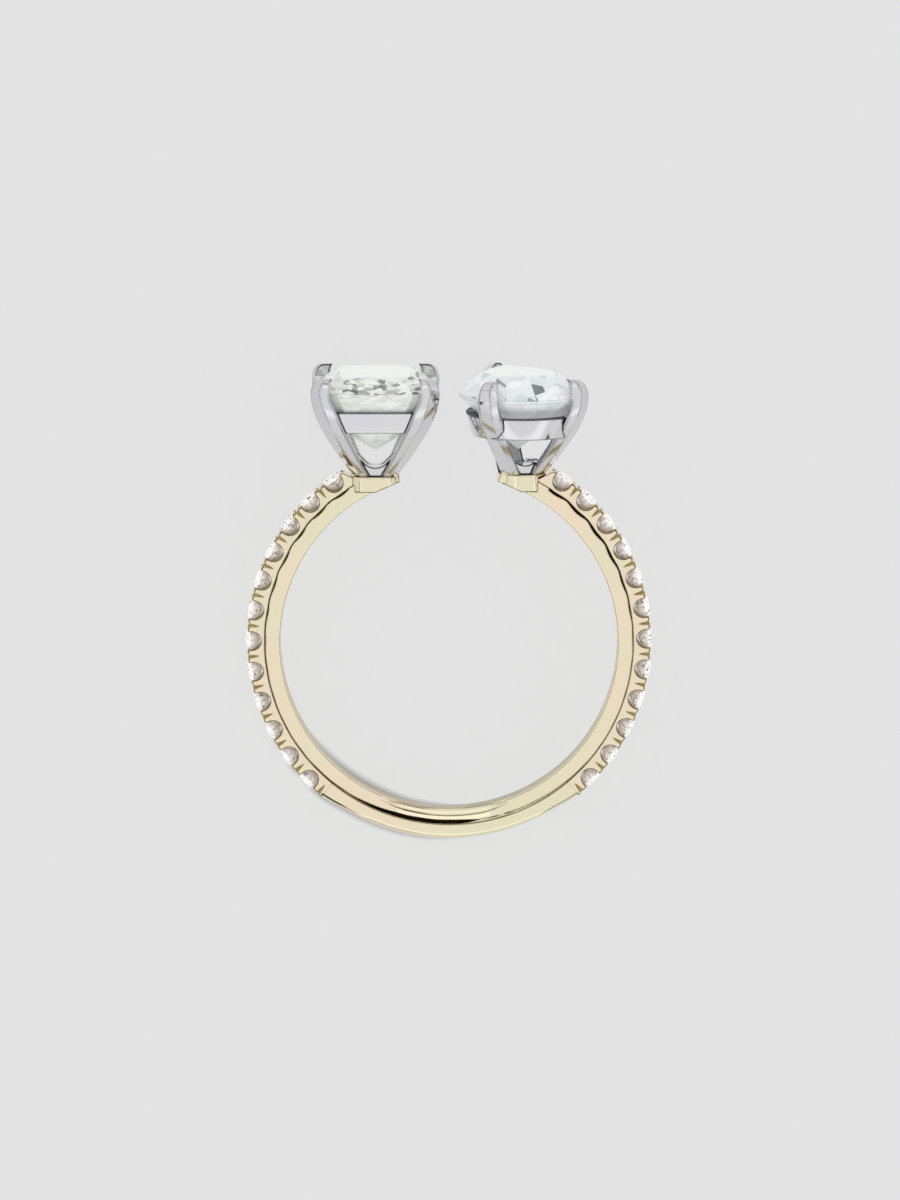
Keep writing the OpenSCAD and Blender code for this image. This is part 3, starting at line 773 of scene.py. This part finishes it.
def small_stone():
    """Round brilliant at the top of the ring: table, stars, kites, halves and culet."""
    r = PAVE_D / 2

    def ring(n, share, rise, offset=0.0):
        turns = [2 * math.pi * (k + offset) / n for k in range(n)]
        return [Vector((share * r * math.sin(a), share * r * math.cos(a), STONE_R + rise)) for a in turns]

    table_share, table_h, kite_h, girdle, deep_h, culet_h = 0.6, 0.26, 0.165, 0.015, -0.3, -0.44
    rings = [ring(8, table_share, table_h), ring(8, 0.84, kite_h, 0.5), ring(16, 1, girdle),
             ring(16, 1, -girdle), ring(8, 0.52, deep_h, 0.5), [Vector((0, 0, STONE_R + culet_h))]]
    # Number of each ring's first point
    table, kite, high, low, deep, culet = 0, 8, 16, 32, 48, 56
    faces = [tuple(range(table, table + 8))]
    for k in range(8):
        after = (k + 1) % 8
        before = (k - 1) % 8
        tip, side_tip, next_tip = 2 * k, 2 * k + 1, (2 * k + 2) % 16
        faces += [(table + k, table + after, kite + k), (table + k, kite + k, high + tip, kite + before),
                  (kite + k, high + tip, high + side_tip), (kite + k, high + side_tip, high + next_tip),
                  (high + tip, low + tip, low + side_tip, high + side_tip),
                  (high + side_tip, low + side_tip, low + next_tip, high + next_tip),
                  (low + tip, deep + k, low + side_tip), (low + side_tip, deep + k, low + next_tip),
                  (low + tip, deep + before, culet, deep + k)]
    return face_outwards(solid("small_stone", [p for part in rings for p in part], faces))


def small_stones():
    pattern = small_stone()
    for name, side, first in ROWS:
        piece = row_of(pattern, side, first, PAVE_COUNT, small_diamond)
        finish_piece(piece, name + "_row_of_stones",
                     [f"{name}_small_stone_{k}" for k in range(1, PAVE_COUNT + 1)], 1)
    bpy.data.objects.remove(pattern)


def dress_stones():
    """The main stones are the part's own solids, cut in facets there."""
    for name, piece in frame["nodes"].items():
        if name.endswith("cut_stone"):
            dress(piece, pear_diamond if name.startswith("pear") else step_diamond)


# Settings

CLAW_W = 0.88
CLAW_BEVEL = 0.42
FOOT_R = 0.92
TIP_REACH = 0.62
WEDGE_REACH = 0.8
# How far over the girdle a claw's stem ends
STEM_OVER = 0.02
CORNER = math.cos(math.radians(45))
# A stem bends along a curve with these control points: share of its way out and up
STEM_LEAN = ((0, 0), (0.56, 0.4), (0.98, 0.72), (1, 1))
# A tip: share of its way in over the stone, share of its height, and its width
TIP_STEPS = (
    (0.01, 0.12, 1), (0.03, 0.26, 0.99), (0.07, 0.41, 0.97), (0.13, 0.55, 0.94),
    (0.22, 0.68, 0.9), (0.33, 0.79, 0.85), (0.46, 0.88, 0.79), (0.6, 0.95, 0.71),
    (0.73, 0.985, 0.6), (0.83, 0.998, 0.46), (0.9, 1, 0.3), (0.94, 1, 0.14))
# The main stones: sizes from above, the girdle's lift over the collar, the tips' height over
# the girdle and how far out the claws stand
EMERALD = {"l": 7.2, "w": 5.3, "corner": 0.4, "lift": 4.28, "tip": 0.8, "out": 0.04}
PEAR = {"r": 3.05, "h": 9.2 - 3.05, "round": -(9.2 - 6.1) / 2, "lift": 3.95, "tip": 0.98, "out": 0.24}
PEAR_CLAW = math.radians(44)
WEDGE_FOOT = math.radians(206)
# The rail under a stone: its height and wall, how far it lies below the girdle and inside it,
# and the share of its outline that is left at its lower edge
GALLERY = {"h": 1.1, "wall": 0.5, "drop": 0.82, "inset": 0.32, "lean": 0.89}


def cubic(p, t):
    return (1 - t) ** 3 * p[0] + 3 * t * (1 - t) ** 2 * p[1] + 3 * t * t * (1 - t) * p[2] + t ** 3 * p[3]


def claw(way, lift, tip_h, turn, section, wide=0.0, narrow=1.0):
    """A claw from its foot by its top, level with the stone's girdle, to its tip over the
    stone. It is wide by that much more at the gallery rail, on the inside alone, and its tip
    narrows to that share. section gives the crisp and the softened outline."""
    foot, top, tip = (Vector((x, y, 0)) for x, y in way)
    inwards = (tip - top).normalized()
    stations = []
    steps = 28
    for k in range(steps + 1):
        out, up = (cubic([row[c] for row in STEM_LEAN], k / steps) for c in (0, 1))
        at = foot + (top - foot) * out + Vector((0, 0, lift * up))
        grown = wide * smooth(up / 0.6) * (1 - 0.75 * smooth((up - 0.78) / 0.22))
        stations.append((at, blend(0.9, 1, up), grown, 1.0, 0.15 * up))
    for over, up, w in TIP_STEPS:
        at = top + (tip - top) * over + Vector((0, 0, lift + tip_h * up))
        grown = wide * 0.25 * (1 - up)
        stations.append((at, w, grown, blend(1, narrow, up), blend(0.15, 1, up)))
    c, n = math.cos(turn), math.sin(turn)
    rings = []
    for at, w, grown, thin, soft in stations:
        middle = at + inwards * grown * CLAW_W * CORNER
        size = w + grown
        outline = [(blend(a[0], b[0], soft) * size, blend(a[1], b[1], soft) * size * thin)
                   for a, b in zip(*section)]
        rings.append([middle + Vector((x * c - y * n, x * n + y * c, 0)) for x, y in outline])
    return loft("claw", rings)


def claw_section():
    """A round claw's outline: square, with a broad bevel on the corner that looks outwards."""
    h, b, e = CLAW_W / 2, CLAW_BEVEL, 0.08
    square = [(h, h - b), (h - b, h), (-h + e, h), (-h, h - e), (-h, -h + e), (-h + e, -h),
              (h - e, -h), (h, -h + e)]
    turned = [((x + y) * CORNER, (y - x) * CORNER) for x, y in square]
    crisp = rounded(turned, 0.035)
    soft = [Vector(p).normalized() * h * 1.12 for p in crisp]
    return crisp, soft


def wedge_section():
    """The wedge claw's outline: a blunt nose that looks outwards between two flanks."""
    nose, flat, back, half = CLAW_W * 0.48, CLAW_W * 0.18, CLAW_W * 0.7, CLAW_W * 0.89
    outline = [(nose, -flat), (nose, flat), (-back, half), (-back, -half)]
    return rounded(outline, 0.05), rounded(outline, 0.25)


def pear_outline(r, h, n):
    """A half circle of radius r at the front, then sides that close to a point at h behind."""
    side = []
    for k in range(8 * n + 1):
        if k <= 3 * n:
            a = math.radians(30 * k / n)
            side.append((r * math.sin(a), -r * math.cos(a)))
        else:
            s = (k / n - 3) / 5
            side.append((r * (1 - s * s), h * s))
    return side + [(-x, y) for x, y in side[-2:0:-1]]


def tube(name, outer, inner, low, high, soft=0.07):
    """A rail with rounded edges, from its outer and inner outline. Below it leans inwards."""
    rings = []
    steps = 4
    for outline, other, ends in ((outer, inner, (low, high)), (inner, outer, (high, low))):
        up = 1 if ends[1] > ends[0] else -1
        for end, way in ((ends[0], 1), (ends[1], -1)):
            for k in range(steps + 1):
                a = math.radians(90 * (k if way > 0 else steps - k) / steps)
                share = soft * (1 - math.sin(a)) / GALLERY["wall"]
                z = end + way * up * soft * (1 - math.cos(a))
                lean = blend(GALLERY["lean"], 1, (z - low) / (high - low))
                rings.append([Vector((blend(x, ox, share) * lean, blend(y, oy, share) * lean, z))
                              for (x, y), (ox, oy) in zip(outline, other)])
    return loft(name, rings, closed=True)


def ledge(gallery, outline, high):
    """Cuts the ledge that the stone sits over into the top of its rail, and gives its walls a nearly black
    painted shade.
    """
    cutter = dress(prism("cutter", outline, high - 0.03, high + 0.3), ledge_gold)
    combine(dress(gallery, white_gold), cutter, "DIFFERENCE")


def setting(claws, gallery, block):
    """One solid of all the pieces that are soldered together."""
    piece = dress(block, white_gold)
    for other in claws:
        combine(piece, dress(other, white_gold), "UNION")
    combine(piece, gallery, "UNION")
    return piece


def base(w, h, matrix=Matrix.Identity(4)):
    """Foot of a setting: a block between the claws, hollowed to a U from all four sides."""
    piece = prism("base", rounded(cut_corner(w, w, 0.1), 0.05), 0.02, h)
    hollow_r, hollow_z, wide, high = 0.72, 1.17, 1.9, 1.8
    for turn in (0, 90):
        outline = [(wide, high), (-wide, high)] + arc(0, hollow_z, hollow_r, hollow_r, 218, 322, 24)
        bend = loft("bend", [[Vector((x, y, z)) for x, z in outline] for y in (-2, 2)])
        combine(piece, move(bend, Matrix.Rotation(math.radians(turn), 4, "Z")), "DIFFERENCE")
    return move(piece, matrix)


def emerald_setting():
    e = EMERALD
    top_x, top_y = e["w"] / 2 + e["out"], e["l"] / 2 - e["out"]
    foot = FOOT_R * CORNER
    reach = TIP_REACH * CORNER
    claws = []
    for sx, sy in ((1, 1), (-1, 1), (-1, -1), (1, -1)):
        way = ((sx * foot, sy * foot), (sx * top_x, sy * top_y),
               (sx * (top_x - reach), sy * (top_y - reach)))
        claws.append(claw(way, e["lift"] + STEM_OVER, e["tip"], math.atan2(sy, sx), claw_section(), 0.3))
    w, l = e["w"] - 2 * GALLERY["inset"], e["l"] - 2 * GALLERY["inset"]
    inner = cut_corner(w - 2 * GALLERY["wall"], l - 2 * GALLERY["wall"], e["corner"])
    high = e["lift"] - GALLERY["drop"]
    rail_piece = tube("gallery", cut_corner(w, l, e["corner"]), inner, high - GALLERY["h"], high)
    ledge(rail_piece, cut_corner(w + 0.2, l + 0.2, e["corner"]), high)
    piece = setting(claws, rail_piece, base(1.9, 0.95))
    move(piece, AT_EMERALD)
    return finish_piece(piece, "white_emerald_setting", ["emerald_setting"], 12)


def pear_setting():
    p = PEAR
    # The middle of its collar, as the turned setting sees it
    middle = (PEAR_SHIFT * math.cos(PEAR_TURN), -PEAR_SHIFT * math.sin(PEAR_TURN))

    def foot(a):
        return (middle[0] + FOOT_R * math.sin(a), middle[1] - FOOT_R * math.cos(a))

    def from_round(a, r):
        return (r * math.sin(a), p["round"] - r * math.cos(a))

    claws = []
    top_r = p["r"] + p["out"]
    for a in (-PEAR_CLAW, PEAR_CLAW):
        way = (foot(a), from_round(a, top_r), from_round(a, top_r - TIP_REACH))
        claws.append(claw(way, p["lift"] + STEM_OVER, p["tip"], a - math.pi / 2, claw_section(), 0.12))
    wedge_y = p["round"] + p["h"] + p["out"]
    way = (foot(WEDGE_FOOT), (0, wedge_y), (0, wedge_y - WEDGE_REACH))
    claws.append(claw(way, p["lift"] + STEM_OVER, p["tip"], math.pi / 2, wedge_section(), 0.0, 0.3))
    r, h = p["r"] - GALLERY["inset"], p["h"] - GALLERY["inset"]
    high = p["lift"] - GALLERY["drop"]
    inner = pear_outline(r - GALLERY["wall"], h - 2 * GALLERY["wall"], 6)
    rail_piece = tube("gallery", pear_outline(r, h, 6), inner, high - GALLERY["h"], high)
    ledge(rail_piece, pear_outline(r + 0.1, h + 0.15, 6), high)
    move(rail_piece, Matrix.Translation((0, p["round"], 0)))
    piece = setting(claws, rail_piece, base(1.8, 0.6, Matrix.Translation((*middle, 0))))
    move(piece, AT_PEAR)
    return finish_piece(piece, "white_pear_setting", ["pear_setting"], 12)


# Stage

def floor():
    """Matt white acrylic lit from behind, as a light table is. Its faint grain is drawn a
    millimetre wide so that it shows. Where something lies on it, a painted contact shadow
    darkens it only close to where it touches."""
    half = 1.2
    corners = [(-half, -half, 0), (half, -half, 0), (half, half, 0), (-half, half, 0)]
    piece = solid("floor", corners, [(0, 1, 2, 3)])
    made, tree = new_material("backlit_white_acrylic")
    place = node(tree, "ShaderNodeTexCoord").outputs["Object"]
    grain = node(tree, "ShaderNodeTexNoise", Vector=place, Scale=grains_of(1.11), Detail=2.0)
    tone = node(tree, "ShaderNodeMix", OF_COLOURS, _0=grain.outputs["Fac"], _6=colour("#E3E3E3"),
                _7=colour("#E6E6E6"))
    # Painted contact shadow where the ring lies close to the floor
    near = node(tree, "ShaderNodeAmbientOcclusion", {"samples": 8}, Distance=0.45 * MM)
    touched = node(tree, "ShaderNodeMapRange", Value=near.outputs["AO"], _1=0.45, _2=0.98)
    shaded = node(tree, "ShaderNodeMix", OF_COLOURS, _0=touched, _6=colour("#8E8A89"), _7=tone.outputs[2])
    card = node(tree, "ShaderNodeBsdfDiffuse", Color=shaded.outputs[2])
    glow = node(tree, "ShaderNodeEmission", Color=shaded.outputs[2], Strength=1.0)
    both = node(tree, "ShaderNodeMixShader", _0=0.9, _1=card, _2=glow)
    node(tree, "ShaderNodeOutputMaterial", Surface=both)
    piece.data.materials.append(made)


def studio():
    """White tent round the ring, with dark gaps between its lower panels."""
    world = bpy.data.worlds.new("studio")
    bpy.context.scene.world = world
    world.use_nodes = True
    tree = world.node_tree
    tree.nodes.clear()
    way = node(tree, "ShaderNodeTexCoord").outputs["Generated"]

    def along(direction):
        return node(tree, "ShaderNodeVectorMath", DOT, _0=way,
                    _1=tuple(ring_direction(*direction))).outputs["Value"]

    share = reckon(tree, "DIVIDE", reckon(tree, "ARCCOSINE", along((0, -1, 0))), math.pi)
    round_ring = reckon(tree, "ARCTAN2", along((0, 0, 1)), along((1, 0, 0)))
    stripe = reckon(tree, "SINE", reckon(tree, "MULTIPLY_ADD", round_ring, 6.0, math.radians(210)))
    lit = node(tree, "ShaderNodeMapRange", EASED, Value=stripe, _1=-0.5, _2=-0.2)

    def levels(stops):
        """Light by the angle from the ring's front, from stops in degrees."""
        greys = [(degrees / 180, (level, level, level, 1)) for degrees, level in stops]
        return node(tree, "ShaderNodeValToRGB", {"stops": greys}, Fac=share)

    top_panel = ((0, 0.89), (42, 0.89), (48, 1.13), (57, 1.13), (62, 0.86))
    gap = ((69, 0.86), (71, 0.04), (76, 0.04), (78, 0.86))
    low_panel = ((110, 0.84), (180, 0.9))
    tent = levels(top_panel + low_panel)
    gaps = levels(top_panel + gap + low_panel)
    room = node(tree, "ShaderNodeMix", OF_COLOURS, _0=lit, _6=gaps, _7=tent)
    light = node(tree, "ShaderNodeBackground", Color=room.outputs[2], Strength=1.0)
    node(tree, "ShaderNodeOutputWorld", Surface=light)


def camera():
    """Looks at the front of the ring from a little towards its settings, from far away."""
    tilt = math.radians(7.5)
    image_h = 1200
    px_per_mm = 20.4
    data = bpy.data.cameras.new("camera")
    data.sensor_width = 36
    data.lens = 500
    distance = image_h / px_per_mm / data.sensor_width * data.lens
    # The middle of the picture lies a little above the middle of the finger hole
    target = Vector((0.05, 0, 1.96 / math.cos(tilt)))
    back = Vector((0, -math.cos(tilt), math.sin(tilt)))
    up = Vector((0, math.sin(tilt), math.cos(tilt)))
    eye = LAID_DOWN @ (target + back * distance)
    z = ring_direction(*back)
    y = ring_direction(*up)
    x = y.cross(z)
    made = bpy.data.objects.new("camera", data)
    made.matrix_world = Matrix((x, y, z)).transposed().to_4x4()
    made.location = eye
    data.clip_start = 0.05
    data.clip_end = 10
    bpy.context.scene.collection.objects.link(made)
    bpy.context.scene.camera = made


def render_settings():
    """Plain colours, and enough bounces for light to find its way through the stones."""
    scene = bpy.context.scene
    scene.view_settings.view_transform = "Standard"
    scene.cycles.max_bounces = 16
    scene.cycles.transmission_bounces = 14
    scene.cycles.glossy_bounces = 6
    scene.cycles.use_denoising = True


shank()
small_stones()
emerald_setting()
pear_setting()
dress_stones()
floor()
studio()
camera()
render_settings()
